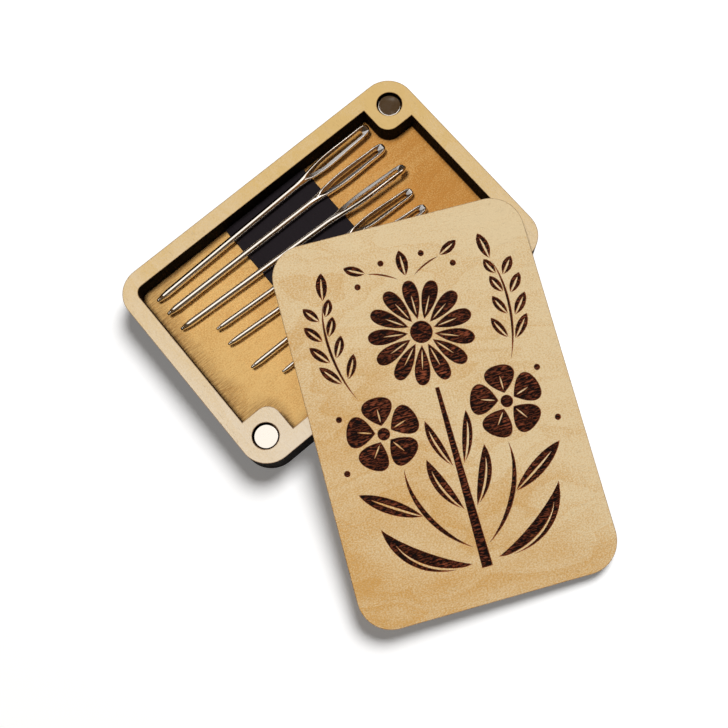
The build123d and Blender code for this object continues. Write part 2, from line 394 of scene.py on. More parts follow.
def stretched_noise(add, place, grain, length, width, low, high, **shape):
    """Noise whose spots are length by width millimetres along the grain, from 0 at low to 1 at high."""
    at = add("VectorMath", [place, along_grain(grain, length, width)], operation="MULTIPLY")
    settings = {"Vector": at, "Scale": 1.0, "Detail": 2.0, "Roughness": 0.55}
    settings.update(shape)
    noise = add("TexNoise", settings)
    return add("MapRange", [noise, low, high, 0.0, 1.0], **SOFT)


def birch_face(add, place, figure, wood):
    """Colour and relief of a rotary-cut birch face.

    Its warmth, which mixes the palest colour with the warmest, is that of the board at this place plus
    clouds, growth rings, fibres and specks, each about its own mean. Pores lie on top. A rotary cut
    peels the log, so its rings are the contour lines of a smooth hill, sharp on one side and soft on
    the other.
    """
    grain = figure.grain
    clouds = stretched_noise(add, place, grain, 20, 11, 0.3, 0.7)
    hill_at = add("VectorMath", [place, along_grain(grain, 40, 15)], operation="MULTIPLY")
    hill = add("TexNoise", {"Vector": hill_at, "Scale": 1.0, "Detail": 2.5, "Distortion": 0.5})
    contours, sharp_side = 7.0, 0.93
    ring = add("Math", [hill, contours], operation="MULTIPLY")
    ring = add("Math", [ring], operation="FRACT")
    rise = add("MapRange", [ring, 0.25, sharp_side, 0.0, 1.0])
    fall = add("MapRange", [ring, sharp_side, 1.0, 1.0, 0.0])
    rings = add("Math", [rise, fall], operation="MULTIPLY")
    length, width = wood.fibre_length / MM, wood.fibre_width / MM
    fibres = stretched_noise(add, place, grain, length, width, 0.34, 0.66, Detail=3.0)
    # Real fibre ends are a twentieth of a millimetre across, so these specks are drawn coarser to show
    specks = stretched_noise(add, place, grain, 0.42, 0.28, 0.38, 0.62, Detail=2.0)
    pores = stretched_noise(add, place, grain, 1.3, 0.17, 0.62, 0.76)
    layers = (
        (clouds, figure.clouds),
        (rings, figure.rings),
        (fibres, 0.6 * figure.fibres),
        (specks, 2.1 * figure.fibres),
    )
    warmth = add("VectorMath", [place, (*figure.drift, 0)], operation="DOT_PRODUCT")
    level = figure.warmth - sum(strength for _, strength in layers) / 2
    warmth = add("Math", [warmth, level], operation="ADD")
    for layer, strength in layers:
        warmth = add("Math", [layer, strength, warmth], operation="MULTIPLY_ADD")
    colour = add("Mix", [warmth, figure.pale, figure.warm], data_type="RGBA")
    pore_share = add("Math", [pores, 0.2], operation="MULTIPLY")
    colour = add("Mix", [pore_share, colour, wood.scorch_and_shade], data_type="RGBA")
    relief = add("Math", [fibres, specks], operation="ADD")
    relief = add("Math", [relief, pores], operation="SUBTRACT")
    return colour, relief


def box_distance(add, place, centre, half, radius):
    """Signed distance on the board from a rounded rectangle, below zero inside it: the length of what
    sticks out past the rectangle drawn in by its radius, plus what is left inside, less the radius."""
    flat = add("VectorMath", [place, (1, 1, 0)], operation="MULTIPLY")
    from_centre = add("VectorMath", [flat, (*centre, 0)], operation="SUBTRACT")
    folded = add("VectorMath", [from_centre], operation="ABSOLUTE")
    drawn_in = (half[0] - radius, half[1] - radius, 0)
    past = add("VectorMath", [folded, drawn_in], operation="SUBTRACT")
    outside = add("VectorMath", [past, (0, 0, 0)], operation="MAXIMUM")
    reach = add("VectorMath", [outside], operation="LENGTH")
    parts = add("SeparateXYZ", [past]).outputs
    larger = add("Math", [parts["X"], parts["Y"]], operation="MAXIMUM")
    inside = add("Math", [larger, 0.0], operation="MINIMUM")
    total = add("Math", [reach, inside], operation="ADD")
    return add("Math", [total, radius], operation="SUBTRACT")


def outer_distance(add, place, board):
    """Distance in millimetres inwards from a board's outline."""
    half = (board.length / 2 / MM, board.width / 2 / MM)
    beyond = box_distance(add, place, (0, 0), half, board.corner / MM)
    return add("Math", [beyond, -1.0], operation="MULTIPLY")


def turned_half(add, place):
    """The place, turned half round wherever x + y is below zero, because the tray looks the same."""
    total = add("VectorMath", [place, (1, 1, 0)], operation="DOT_PRODUCT")
    sign = add("Math", [total], operation="SIGN")
    return add("VectorMath", {"Vector": place, "Scale": sign}, operation="SCALE")


def cavity_distance(add, place, board):
    """Distance in millimetres from the cavity's outline, below zero inside: the cavity's rectangle less
    the boss, a rounded rectangle that runs on past the corner."""
    half_length = board.length / 2 / MM - RIM_WIDTH
    half_width = board.width / 2 / MM - RIM_WIDTH
    run_on = 2 * BOSS_NOSE
    inner = (half_length - BOSS_LENGTH, half_width - BOSS_WIDTH)
    boss_half = ((BOSS_LENGTH + run_on) / 2, (BOSS_WIDTH + run_on) / 2)
    boss_centre = (inner[0] + boss_half[0], inner[1] + boss_half[1])
    folded = turned_half(add, place)
    room = box_distance(add, place, (0, 0), (half_length, half_width), CAVITY_CORNER)
    boss = box_distance(add, folded, boss_centre, boss_half, BOSS_NOSE)
    less_boss = add("Math", [boss, -1.0], operation="MULTIPLY")
    return add("Math", [room, less_boss], operation="MAXIMUM")


def hole_distance(add, place):
    """Distance in millimetres outwards from the magnet holes' edges."""
    folded = turned_half(add, place)
    flat = add("VectorMath", [folded, (1, 1, 0)], operation="MULTIPLY")
    centre = (TRAY_MAGNET.x / MM, TRAY_MAGNET.y / MM, 0)
    reach = add("VectorMath", [flat, centre], operation="DISTANCE")
    return add("Math", [reach, HOLE_RADIUS], operation="SUBTRACT")


def scorched_line(add, colour, distance, share, wood):
    """The colour, browned by a share at a cut and less with the distance from it."""
    line = add("MapRange", [distance, 0.0, wood.scorch_width / MM, share, 0.0], **SOFT)
    return add("Mix", [line, colour, wood.scorch_and_shade], data_type="RGBA")


def cut_edge(add, place, wood):
    """Colour of a laser-cut edge: burnt black, with brown glints along the cut's upright ridges and two
    darker glue lines between the board's three plies."""
    patches = stretched_noise(add, place, "long", 0.5, 0.5, 0.42, 0.78)
    # The laser's ridges are a tenth of a millimetre apart, drawn about four times as coarse to show
    ridges_a_millimetre = (2.6, 2.6, 0.3)
    upright = add("VectorMath", [place, ridges_a_millimetre], operation="MULTIPLY")
    ridges = add("TexNoise", {"Vector": upright, "Scale": 1.0, "Detail": 2.0})
    glint = add("MapRange", [ridges, 0.45, 0.75, 0.0, 0.5], **SOFT)
    level = add("SeparateXYZ", [place]).outputs["Z"]
    middle_up = add("Math", [level, PLY / MM / 2], operation="SUBTRACT")
    from_middle = add("Math", [middle_up], operation="ABSOLUTE")
    glue_at = PLY / MM * 0.26
    off_glue = add("Math", [from_middle, glue_at], operation="SUBTRACT")
    off_glue = add("Math", [off_glue], operation="ABSOLUTE")
    open_wood = add("MapRange", [off_glue, 0.04, 0.14, 0.0, 1.0], **SOFT)
    share = add("Math", [glint, open_wood], operation="MULTIPLY")
    share = add("Math", [share, patches], operation="MULTIPLY")
    return add("Mix", [share, wood.char, wood.scorch_and_shade], data_type="RGBA")


def birch_shader(add, colour, relief, cut, facing):
    """The shader of a board: satin faces and matt burnt edges, told apart by where they face."""
    relief_depth = 0.03 * MM
    upright = add("Math", [facing], operation="ABSOLUTE")
    face = add("MapRange", [upright, 0.3, 0.7, 0.0, 1.0])
    colour = add("Mix", [face, cut, colour], data_type="RGBA")
    roughness = add("MapRange", [face, 0.0, 1.0, 0.9, 0.58])
    bump = add("Bump", {"Strength": 1.0, "Distance": relief_depth, "Height": relief})
    shader = add(
        "BsdfPrincipled",
        {
            "Base Color": colour,
            "Roughness": roughness,
            "IOR": 1.5,
            "Specular IOR Level": 0.16,
            "Normal": bump,
        },
    )
    add("OutputMaterial", {"Surface": shader})


def frame_birch(board, wood):
    """Birch plywood, laser cut and sanded: pale faces with the grain across the tray, a thin browned
    line beside each cut, and charred walls."""
    material, add = emptied(bpy.data.materials.new("birch_plywood_frame"))
    place, facing = board_space(add, board)
    figure = Figure(
        "short", wood.rim_pale, wood.rim_warm, 0.6, (0.006, 0.010), clouds=0.18, rings=0.14, fibres=0.12
    )
    colour, relief = birch_face(add, place, figure, wood)
    edge = outer_distance(add, place, board)
    for other in (cavity_distance(add, place, board), hole_distance(add, place)):
        edge = add("Math", [edge, other], operation="MINIMUM")
    colour = scorched_line(add, colour, edge, 0.85, wood)
    birch_shader(add, colour, relief, cut_edge(add, place, wood), facing)
    return material


def floor_birch(board, wood):
    """Birch plywood with the grain along the tray, left unsanded: warmer, with stronger figure, and
    sooted in streaks where the cutting smoke ran along the grain from the walls. Near every wall the
    streaked band is also painted shade, and a thin dark line at the foot of each wall is painted shade."""
    material, add = emptied(bpy.data.materials.new("birch_plywood_floor"))
    place, facing = board_space(add, board)
    figure = Figure(
        "long", wood.floor_pale, wood.floor_warm, 0.5, (0.01, 0.0), clouds=0.24, rings=0.14, fibres=0.24
    )
    colour, relief = birch_face(add, place, figure, wood)
    wall = cavity_distance(add, place, board)
    from_wall = add("Math", [wall, -1.0], operation="MULTIPLY")
    fibres = stretched_noise(add, place, "long", 3.5, 0.28, 0.3, 0.7, Detail=3.0)
    puffs = stretched_noise(add, place, "long", 9.0, 7.0, 0.25, 0.75)
    # The smoke was drawn to the tray's left end, and least to its right, where the band is mostly painted
    # shade
    parts = add("SeparateXYZ", [place]).outputs
    half = board.length / 2 / MM - RIM_WIDTH
    left = add("MapRange", [parts["X"], -half, -half * 0.35, 1.0, 0.25], **SOFT)
    mean_reach = wood.soot_and_shade_reach / MM
    reach = add("MapRange", [puffs, 0.0, 1.0, 0.6 * mean_reach, 1.4 * mean_reach])
    reach = add("Math", [reach, left], operation="MULTIPLY")
    near = add("Math", [from_wall, reach], operation="DIVIDE")
    # Soot streaks, and painted shade along every wall, darkest right at the wall
    soot_and_shade = add("MapRange", [near, 0.0, 1.0, 0.75, 0.0], **SOFT)
    broken = add("MapRange", [fibres, 0.0, 1.0, 0.2, 1.0])
    soot_and_shade = add("Math", [soot_and_shade, broken], operation="MULTIPLY")
    # Only the upper face gets soot and painted shade, and a thin line of painted shade at the walls' foot
    inside = add("Math", [parts["Z"], PLY / MM / 2], operation="GREATER_THAN")
    soot_and_shade = add("Math", [soot_and_shade, inside], operation="MULTIPLY")
    # The soot and the painted shade take the scorch colour
    colour = add("Mix", [soot_and_shade, colour, wood.scorch_and_shade], data_type="RGBA")
    # A thin black line of painted shade where the floor meets the walls, in the char colour
    foot = add("MapRange", [from_wall, 0.08, 0.3, 0.9, 0.0], **SOFT)
    foot = add("Math", [foot, inside], operation="MULTIPLY")
    colour = add("Mix", [foot, colour, wood.char], data_type="RGBA")
    colour = scorched_line(add, colour, outer_distance(add, place, board), 0.85, wood)
    birch_shader(add, colour, relief, cut_edge(add, place, wood), facing)
    return material


def lid_birch(board, wood):
    """Birch plywood with the grain across the lid, sanded, and a picture burnt into it by a laser that
    ran to and fro along the grain: red-brown and black ripples about a third of a millimetre wide, drawn
    coarser than the laser's lines so that they show."""
    material, add = emptied(bpy.data.materials.new("birch_plywood_lid"))
    place, facing = board_space(add, board)
    figure = Figure(
        "short", wood.lid_pale, wood.lid_warm, 0.37, (-0.006, 0.0075), clouds=0.3, rings=0.26, fibres=0.28
    )
    colour, relief = birch_face(add, place, figure, wood)
    edge = outer_distance(add, place, board)
    colour = scorched_line(add, colour, edge, 0.75, wood)
    ripples = stretched_noise(add, place, "short", 1.6, 0.36, 0.46, 0.64, Detail=2.5, Distortion=0.6)
    patches = stretched_noise(add, place, "short", 8, 5, 0.3, 0.7)
    # Sparse lighter crests among the ripples: painted highlights
    crest_highlights = stretched_noise(add, place, "short", 1.4, 0.36, 0.57, 0.68, Detail=2.0)
    share = add("MapRange", [patches, 0.0, 1.0, 0.35, 1.0])
    brown = add("Math", [ripples, share], operation="MULTIPLY")
    burnt = add("Mix", [brown, wood.burn_black_and_shade, wood.burn_brown], data_type="RGBA")
    crest_highlight_share = add("Math", [crest_highlights, 0.4], operation="MULTIPLY")
    burnt = add("Mix", [crest_highlight_share, burnt, wood.burn_edge_and_highlight], data_type="RGBA")
    # The picture's floor gets a black line of painted shade along its outlines, a little way in from its
    # walls, and is brown in its narrowest corners
    sky = add("AmbientOcclusion", {"Distance": 1.3 * BURN_DEPTH * MM}, samples=8, only_local=True)
    open_sky = sky.outputs["AO"]
    # Painted shade: black where the picture's walls are near
    outline = add("MapRange", [open_sky, 0.85, 1.0, 0.85, 0.0])
    burnt = add("Mix", [outline, burnt, wood.burn_black_and_shade], data_type="RGBA")
    scorched = add("MapRange", [open_sky, 0.55, 0.78, 0.85, 0.0])
    burnt = add("Mix", [scorched, burnt, wood.burn_edge_and_highlight], data_type="RGBA")
    # The picture is what lies just below the lid's top, away from its outer edge
    level = add("SeparateXYZ", [place]).outputs["Z"]
    top = PLY / MM
    below_top = add("MapRange", [level, top - 0.7 * BURN_DEPTH, top - 0.5 * BURN_DEPTH, 1.0, 0.0])
    near_top = add("Math", [level, top - 2 * BURN_DEPTH], operation="GREATER_THAN")
    within = add("Math", [edge, 4 * BURN_DEPTH], operation="GREATER_THAN")
    inner_wall = add("Math", [near_top, within], operation="MULTIPLY")
    recess = add("Math", [below_top, inner_wall], operation="MULTIPLY")
    colour = add("Mix", [recess, colour, burnt], data_type="RGBA")
    # The burnt ripples are five times as deep as the sanded grain
    deep = add("Math", [ripples, 5.0], operation="MULTIPLY")
    relief = add("Mix", [recess, relief, deep], data_type="FLOAT")
    cut = add("Mix", [inner_wall, cut_edge(add, place, wood), wood.burn_edge_and_highlight], data_type="RGBA")
    birch_shader(add, colour, relief, cut, facing)
    return material


# Metal and rubber


def polished_steel(metal):
    """Nickel-plated carbon steel, drawn and tumbled bright: a near mirror, whose faint haze comes from
    drawing lines too fine to show. The tumbling doesn't reach the slopes that the stamp left inside the
    eye and its gutter, so they stay dull and grey."""
    material, add = emptied(bpy.data.materials.new("nickel_plated_steel"))
    at = add("TexCoord").outputs["Object"]
    haze = add("TexNoise", {"Vector": at, "Scale": 1 / (4 * MM), "Detail": 2.0})
    low, high = metal.steel_roughness * 0.8, metal.steel_roughness * 1.3
    roughness = add("MapRange", [haze, 0.35, 0.65, low, high])
    stamped = add("Attribute", attribute_name="stamped").outputs["Fac"]
    roughness = add("Mix", [stamped, roughness, metal.stamped_roughness], data_type="FLOAT")
    colour = add("Mix", [stamped, metal.steel, metal.stamped_steel], data_type="RGBA")
    drawn_at = add("VectorMath", [at, (0.12 / MM, 1 / MM, 1 / MM)], operation="MULTIPLY")
    drawn = add("TexNoise", {"Vector": drawn_at, "Scale": 1.0, "Detail": 1.0})
    bump = add("Bump", {"Strength": 0.1, "Distance": 0.01 * MM, "Height": drawn})
    shader = add(
        "BsdfPrincipled",
        {"Base Color": colour, "Metallic": 1.0, "Roughness": roughness, "Normal": bump},
    )
    add("OutputMaterial", {"Surface": shader})
    return material


def nickel_plate(metal):
    """Nickel-copper-nickel plating on a sintered magnet: bright, with the shallow waves of the ground
    face below it, about 2 mm apart, and a fine haze of handling marks."""
    material, add = emptied(bpy.data.materials.new("nickel_plating"))
    at = add("TexCoord").outputs["Object"]
    waves = add("TexNoise", {"Vector": at, "Scale": 1 / (2.2 * MM), "Detail": 3.0, "Distortion": 0.8})
    low, high = metal.nickel_roughness * 0.7, metal.nickel_roughness * 1.6
    roughness = add("MapRange", [waves, 0.35, 0.65, low, high])
    bump = add("Bump", {"Strength": 0.35, "Distance": 0.03 * MM, "Height": waves})
    shader = add(
        "BsdfPrincipled",
        {"Base Color": metal.nickel, "Metallic": 1.0, "Roughness": roughness, "Normal": bump},
    )
    add("OutputMaterial", {"Surface": shader})
    return material


def ferrite_rubber(metal):
    """Rubber filled with ferrite powder and calendered to a sheet: near black with a purple cast, half
    gloss, with the faint lines of the rolls and a fine grain."""
    material, add = emptied(bpy.data.materials.new("ferrite_filled_rubber"))
    at = add("TexCoord").outputs["Object"]
    roll_lines = (1 / (0.7 * MM), 1 / (18 * MM), 1 / MM)
    lines_at = add("VectorMath", [at, roll_lines], operation="MULTIPLY")
    lines = add("TexNoise", {"Vector": lines_at, "Scale": 1.0, "Detail": 3.0})
    grain = add("TexNoise", {"Vector": at, "Scale": 1 / (0.15 * MM), "Detail": 2.0})
    mixed = add("Math", [lines, 0.6, grain], operation="MULTIPLY_ADD")
    low, high = metal.strip_roughness * 0.85, metal.strip_roughness * 1.2
    roughness = add("MapRange", [mixed, 0.6, 1.0, low, high])
    lighter = tuple(1.5 * part for part in metal.strip[:3]) + (1.0,)
    share = add("MapRange", [mixed, 0.55, 1.05, 0.0, 1.0])
    colour = add("Mix", [share, metal.strip, lighter], data_type="RGBA")
    bump = add("Bump", {"Strength": 0.5, "Distance": 0.008 * MM, "Height": mixed})
    shader = add(
        "BsdfPrincipled",
        {
            "Base Color": colour,
            "Roughness": roughness,
            "IOR": 1.5,
            "Specular IOR Level": 0.12,
            "Normal": bump,
        },
    )
    add("OutputMaterial", {"Surface": shader})
    return material


# Surfaces


def surface_object(name, points, faces, **shares):
    """A smooth mesh object at the origin, from points in metres, with doubles merged, poles closed and
    faces pointing outwards. Each share is kept as a point attribute for the material."""
    mesh = bpy.data.meshes.new(name)
    mesh.from_pydata(points.tolist(), [], faces.tolist())
    for share, values in shares.items():
        mesh.attributes.new(share, "FLOAT", "POINT").data.foreach_set("value", values.astype(np.float32))
    merge_below = 0.0004 * MM
    shape = bmesh.new()
    shape.from_mesh(mesh)
    bmesh.ops.remove_doubles(shape, verts=shape.verts, dist=merge_below)
    bmesh.ops.dissolve_degenerate(shape, edges=shape.edges, dist=merge_below)
    bmesh.ops.recalc_face_normals(shape, faces=shape.faces)
    shape.to_mesh(mesh)
    shape.free()
    mesh.shade_smooth()
    made = bpy.data.objects.new(name, mesh)
    bpy.context.scene.collection.objects.link(made)
    return made


def grid_faces(rows, columns):
    """The quads of a grid of rows by columns points, as indices row after row."""
    row, column = np.meshgrid(np.arange(rows - 1), np.arange(columns - 1), indexing="ij")
    first = (row * columns + column).ravel()
    return np.stack([first, first + 1, first + columns + 1, first + columns], axis=1)


def share_of_way(x, start, end):
    """How far along x is from start to end, from 0 to 1."""
    return np.clip((x - start) / (end - start), 0, 1)


def eased(x, start, end):
    """The same share with a level start and end: three squares less two cubes."""
    share = share_of_way(x, start, end)
    return share**2 * (3 - 2 * share)


def run_between(start, end, count, ease_start=False, ease_end=False):
    """Stations from start up to end. At an eased end they crowd there as a circle's points do."""
    share = np.linspace(0, 1, count, endpoint=False)
    if ease_start:
        share = 1 - np.cos(np.pi / 2 * share)
    elif ease_end:
        share = np.sin(np.pi / 2 * share)
    return start + (end - start) * share


def needle_surface(size, gutter_share):
    """Points and faces of a needle in millimetres, x from the tip, y across the eye and z through it, and
    how far each point is on the stamped slopes inside the eye and its gutter.

    Each cross-section is two equal superellipses, side by side. On the shaft they coincide and make one
    circle. Along the gutter they draw apart, so a groove opens between them, and where they part the
    slot begins. At the slot's far end they meet again and close over the bridge. A section needs only
    its half width w, its half thickness t and the spread k, which is the distance of each centre from
    the middle over its own half width b: b = w / (1 + k), and the centre is at k b.
    """
    radius, half_width = size.shaft / 2, size.eye_width / 2
    half_eye = size.eye_thickness / 2
    shaft_end = size.length - size.eye_length
    crown_start = size.length - size.crown
    bar = BAR_OVER_WALL * size.eye_wall
    slot_half = half_width - bar
    slot_start = shaft_end + 0.75 * size.shoulder
    slot_full = slot_start + 1.2 * size.eye_width
    slot_end = size.length - size.eye_bridge
    slot_round = slot_end - slot_half
    bridge_middle = (slot_end + size.length) / 2
    gutter_start = slot_start - gutter_share * size.shoulder
    nib_end = 0.75 * size.shaft**0.5
    nib_radius = size.tip_radius * NIB_FULLNESS
    x = np.concatenate(
        [
            run_between(0, size.tip_radius, 12, ease_start=True),
            run_between(size.tip_radius, nib_end, 8),
            run_between(nib_end, size.tip_taper, 22),
            run_between(size.tip_taper, shaft_end, 24),
            run_between(shaft_end, slot_start, 30, ease_end=True),
            run_between(slot_start, slot_full, 24, ease_start=True),
            run_between(slot_full, slot_round, 22),
            run_between(slot_round, slot_end, 16, ease_end=True),
            run_between(slot_end, bridge_middle, 14, ease_start=True),
            run_between(bridge_middle, size.length, 16, ease_end=True),
            [size.length],
        ]
    )
    # Half width: a round nib, a swelling taper, the shaft, the eye, widest near its middle, and the crown
    into_nib = share_of_way(x, 0, size.tip_radius)
    half = size.tip_radius * np.sqrt(1 - (1 - into_nib) ** 2)
    half = half + (nib_radius - size.tip_radius) * eased(x, size.tip_radius, nib_end)
    swell = share_of_way(x, nib_end, size.tip_taper)
    fuller = nib_radius + (radius - nib_radius) * (1 - (1 - swell) ** TAPER_POWER)
    half = np.where(x > nib_end, fuller, half)
    shoulder = eased(x, shaft_end, shaft_end + size.shoulder)
    widest = shaft_end + WIDEST_SHOULDERS * size.shoulder
    half = half + (half_width - radius) * eased(x, shaft_end, widest)
    half = half * (1 - EYE_NARROWING * eased(x, widest, crown_start))
    in_crown = share_of_way(x, crown_start, size.length)
    half = half * (1 - in_crown**CROWN_POWER) ** (1 / CROWN_POWER)
    # Half thickness: as the half width up to the shoulder, then down to the eye's, round at its end
    before = np.where(x < shaft_end, half, radius)
    thick = before + (half_eye - radius) * shoulder
    over_end = share_of_way(x, bridge_middle, size.length)
    thick = thick * np.sqrt(1 - over_end**2)
    # Roundness of the section: 2 is an ellipse, more is boxier
    power = 2 + 0.8 * shoulder
    # How far in from the outer edge each half starts to slope down to the middle, as a stamped eye does:
    # the slopes open in a V along the gutter and end in a slope of their own over the bridge
    opened = eased(x, gutter_start, slot_start) ** 1.6
    flat = BAR_FLAT * bar
    crest = flat + (half - flat) * (1 - opened)
    from_crown = BRIDGE_GENTLER * (slot_end + BRIDGE_FLAT * size.eye_bridge - x)
    # Spread of the two halves
    opening = eased(x, slot_start, slot_full) ** 0.6
    closing = share_of_way(x, slot_round, slot_end)
    slot = slot_half * opening * np.sqrt(1 - closing**2)
    slot = np.where((x > slot_start) & (x < slot_end), slot, 0)
    spread = (half + slot) / np.maximum(half - slot, 1e-9)
    groove = eased(x, (gutter_start + slot_start) / 2, slot_start)
    in_gutter = (1 - (1 - groove) ** power) ** (1 / power)
    spread = np.where(x < slot_start, in_gutter, spread)
    rise = share_of_way(x, slot_end, size.length)
    on_bridge = np.clip(1 - (1 - (1 - rise) ** 2) ** (power / 2), 0, 1) ** (1 / power)
    spread = np.where(x >= slot_end, on_bridge, spread)
    spread = np.where(np.isclose(x, slot_start) | np.isclose(x, slot_end), 1.0, spread)
    # Points of the quarter section, from its outer edge round its top to the middle or the slot
    columns = 25
    b = half / (1 + spread)
    last = np.arccos(-np.clip(spread, 0, 1) ** (power / 2))
    angle = last[:, None] * np.linspace(0, 1, columns)[None, :]
    sharp = (2 / power)[:, None]
    cosine, sine = np.cos(angle), np.clip(np.sin(angle), 0, 1)
    y = b[:, None] * (spread[:, None] + np.sign(cosine) * np.abs(cosine) ** sharp)
    z = thick[:, None] * sine**sharp
    inset = np.minimum(half[:, None] - y - crest[:, None], from_crown[:, None])
    slope = thick[:, None] - BAR_SLOPE * np.maximum(inset, 0)
    slope = np.maximum(slope, 0.15 * thick[:, None])
    stamped = eased(z - slope, 0, 0.03 * thick[:, None] + 1e-9)
    z = np.minimum(z, slope)
    y[spread <= 1, -1] = 0
    z[spread >= 1, -1] = 0
    across = np.repeat(x[:, None], columns, axis=1)
    quarters = [np.stack([across, y * p, z * q], axis=-1).reshape(-1, 3) for p in (1, -1) for q in (1, -1)]
    points = np.concatenate(quarters)
    quads = grid_faces(len(x), columns)
    faces = np.concatenate([quads + i * len(x) * columns for i in range(len(quarters))])
    return points, faces, np.tile(stamped.ravel(), len(quarters))


def needle_axes(place):
    """The needle's tip and its axes as columns, in millimetres: along it, across its eye and through it.

    It lies on the strip. A rolled eye stands deeper than the shaft, so it lifts the shaft where it
    meets the strip's edge, and the needle tips by that rise over the strip's width.
    """
    size = place.size
    roll, heading = math.radians(place.roll), math.radians(place.heading)
    strip_low, strip_high = (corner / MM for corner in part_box("magnetic_strip"))
    tray = size_of("bottom_panel") / MM
    eye_depth = size.eye_width / 2 * abs(math.sin(roll)) + size.eye_thickness / 2 * math.cos(roll)
    pitch = math.asin(max(0.0, eye_depth - size.shaft / 2) / (strip_high.x - strip_low.x))
    tip_x = RIM_WIDTH - tray.x / 2 + size.wall_to_tip + place.along
    to_middle = (strip_low.x + strip_high.x) / 2 - tip_x
    row_y = tray.y / 2 - RIM_WIDTH - ROW_MARGIN - place.row * ROW_PITCH + place.stray
    tip_y = row_y - to_middle * math.sin(heading)
    over_strip = (strip_low.x - tip_x) / math.cos(heading)
    tip_z = strip_high.z + NEEDLE_GAP + size.shaft / 2 - over_strip * math.tan(pitch)
    ahead = Vector((math.cos(heading), math.sin(heading), 0))
    side = Vector((-math.sin(heading), math.cos(heading), 0))
    along = ahead * math.cos(pitch) + Vector((0, 0, math.sin(pitch)))
    through = along.cross(side) * math.cos(roll) + side * math.sin(roll)
    across = through.cross(along)
    return np.array((tip_x, tip_y, tip_z)), np.array((along, across, through))


def disc_surface(radius, height, round_edge, hollow):
    """Points and faces of a plated disc, on its underside's centre: a profile turned about the axis.

    The profile runs out along the underside, round a quarter circle, up the side, round another and
    back in, and the top sinks by hollow towards the middle, as a ground face does.
    """
    bend = np.linspace(0, np.pi / 2, 9)
    out = radius - round_edge + round_edge * np.sin(bend)
    below = round_edge - round_edge * np.cos(bend)
    inner = np.linspace(0, radius - round_edge, 8, endpoint=False)
    reach = np.concatenate([inner, out, out[::-1], inner[::-1]])
    dish = hollow * (1 - (inner / (radius - round_edge)) ** 2)
    level = np.concatenate([0 * inner, below, height - below[::-1], (height - dish)[::-1]])
    turn = np.linspace(0, 2 * np.pi, 97)
    points = np.stack(
        [np.outer(reach, np.cos(turn)), np.outer(reach, np.sin(turn)), np.outer(level, np.ones_like(turn))],
        axis=-1,
    )
    return points.reshape(-1, 3), grid_faces(len(reach), len(turn))


def slab_surface(length, width, height, round_edge):
    """Points and faces of a flat strip with soft edges, on its underside's centre: a rounded-rectangle
    section carried along y.

    The section is a circle of the edge's radius whose quarters are moved out to the strip's corners, and
    it draws in over the last radius at each end by the same quarter circle. The mesh is open at its two
    flat ends, and along its right side between the section's last point and its first, at half height.
    """
    turn = np.linspace(0, 2 * np.pi, 41)
    corner_x = np.sign(np.cos(turn)) * (width / 2 - round_edge)
    corner_z = np.sign(np.sin(turn)) * (height / 2 - round_edge)
    bend = np.linspace(0, np.pi / 2, 7)
    ends = length / 2 - round_edge + round_edge * np.cos(bend)
    station = np.append(-ends, ends[::-1])[:, None]
    reach = round_edge * np.append(np.sin(bend), np.sin(bend)[::-1])[:, None]
    x = corner_x + reach * np.cos(turn)
    z = corner_z + reach * np.sin(turn)
    y = np.repeat(station, len(turn), axis=1)
    return np.stack([x, y, z + height / 2], axis=-1).reshape(-1, 3), grid_faces(*x.shape)


def place_piece(made, node, material):
    """Gives a finished piece its material and the body of the CAD node it stands for, and hides that node.
    """
    body = frame["nodes"][node]["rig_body"]
    made.data.materials.append(material)
    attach(made, body)
    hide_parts(node)


def dress_node(node, material):
    """Gives a CAD node its material."""
    frame["nodes"][node].material_slots[0].material = material


# Operators


class MINDER_OT_tray(Operator):
    """Dresses the tray's floor and its two frames in laser-cut birch plywood"""

    bl_idname = "minder.tray"
    bl_label = "Dress the tray"

    def execute(self, context):
        wood = context.scene.needle_minder.wood
        for node in ("lower_frame", "upper_frame"):
            dress_node(node, frame_birch(tray_board(node), wood))
        dress_node("bottom_panel", floor_birch(tray_board("bottom_panel"), wood))
        return {"FINISHED"}


class MINDER_OT_lid(Operator):
    """Dresses the lid in birch plywood with a picture burnt into it"""

    bl_idname = "minder.lid"
    bl_label = "Dress the lid"

    def execute(self, context):
        dress_node("lid", lid_birch(lid_board(), context.scene.needle_minder.wood))
        return {"FINISHED"}


class MINDER_OT_magnets(Operator):
    """Makes the four plated disc magnets that hold the lid shut"""

    bl_idname = "minder.magnets"
    bl_label = "Make the magnets"

    def execute(self, context):
        material = nickel_plate(context.scene.needle_minder.metal)
        size = size_of("tray_magnet_right") / MM
        points, faces = disc_surface(size.x / 2, size.z, round_edge=0.28, hollow=0.015)
        for node in ("tray_magnet_right", "tray_magnet_left", "lid_magnet_upper", "lid_magnet_lower"):
            turn = lid_board().turn if node.startswith("lid") else STILL
            foot = np.array(middle(node) - turn.col[2] * size.z * MM / 2)
            placed = foot + points * MM @ np.array(turn).T
            place_piece(surface_object(f"{node}_plating", placed, faces), node, material)
        return {"FINISHED"}


class MINDER_OT_strip(Operator):
    """Makes the magnetic strip that holds the needles"""

    bl_idname = "minder.strip"
    bl_label = "Make the magnetic strip"

    def execute(self, context):
        material = ferrite_rubber(context.scene.needle_minder.metal)
        size = size_of("magnetic_strip") / MM
        points, faces = slab_surface(size.y, size.x, size.z, round_edge=0.12)
        foot = np.array(middle("magnetic_strip"))
        foot[2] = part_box("magnetic_strip")[0].z
        made = surface_object("magnetic_strip_rubber", foot + points * MM, faces)
        place_piece(made, "magnetic_strip", material)
        return {"FINISHED"}


